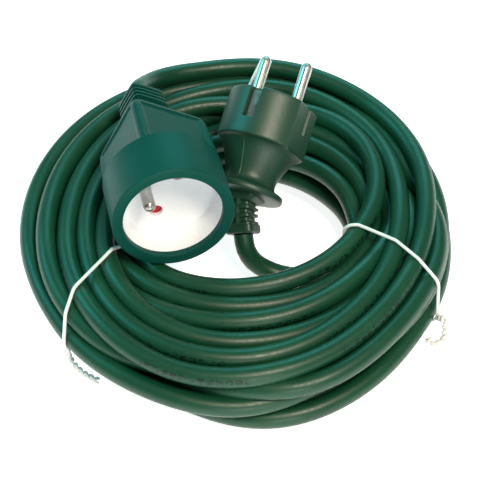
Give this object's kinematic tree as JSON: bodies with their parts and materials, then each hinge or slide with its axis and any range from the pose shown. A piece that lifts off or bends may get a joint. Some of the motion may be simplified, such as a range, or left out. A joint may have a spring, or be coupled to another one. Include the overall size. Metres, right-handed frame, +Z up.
{
  "type": "extension cord",
  "caption": "Round green extension cord wound into a flat coil held by wire ties, with an earthed moulded plug and an earthed trailing socket lying on the coil.",
  "frame": {"origin": "middle of the whole object's bounding box, on the surface that the coil rests on", "axes": "+Z up, the axis of the coil; -Y is the side that the socket's mouth faces; the plug's pins point to +Y and upward"},
  "size_m": [0.1826, 0.1896, 0.077],
  "materials": {
    "cable_pvc": "satin",
    "moulded_pvc": "satin",
    "bridge_plastic": "satin",
    "white_plastic": "gloss",
    "grey_plastic": "matte",
    "red_plastic": "gloss",
    "nickel": "polished",
    "brass": "satin",
    "spring_steel": "satin",
    "tie_plastic": "gloss",
    "core_brown": "satin",
    "core_blue": "satin",
    "core_green_yellow": "satin"
  },
  "bodies": {
    "cord": {"cord_coil": "cable_pvc", "cord_socket_end": "cable_pvc", "cord_plug_end": "cable_pvc", "tie_left": "tie_plastic", "tie_right": "tie_plastic", "tie_back": "tie_plastic", "socket_body": "moulded_pvc", "socket_insert": "white_plastic", "socket_carrier": "grey_plastic", "shutter_spring": "spring_steel", "socket_earth_pin": "nickel", "socket_contact_left": "brass", "socket_contact_right": "brass", "socket_crimp_left": "brass", "socket_crimp_right": "brass", "socket_crimp_earth": "brass", "socket_core_left": "core_brown", "socket_core_right": "core_blue", "socket_core_earth": "core_green_yellow", "plug_body": "moulded_pvc", "plug_bridge": "bridge_plastic", "plug_pin_left": "nickel", "plug_pin_right": "nickel", "plug_earth_strap": "nickel", "plug_earth_sleeve": "brass", "plug_crimp_left": "brass", "plug_crimp_right": "brass", "plug_crimp_earth": "brass", "plug_core_left": "core_brown", "plug_core_right": "core_blue", "plug_core_earth": "core_green_yellow"},
    "shutter": {"socket_shutter": "red_plastic"}
  },
  "joints": [
    {"name": "shutter_slide", "type": "slide", "parent": "cord", "child": "shutter", "axis": [0.8554, 0.1426, -0.4979], "range_m": [0, 0.0065], "stiffness_N_per_m": 100, "springref_m": -0.003, "deforming": ["shutter_spring"]}
  ]
}
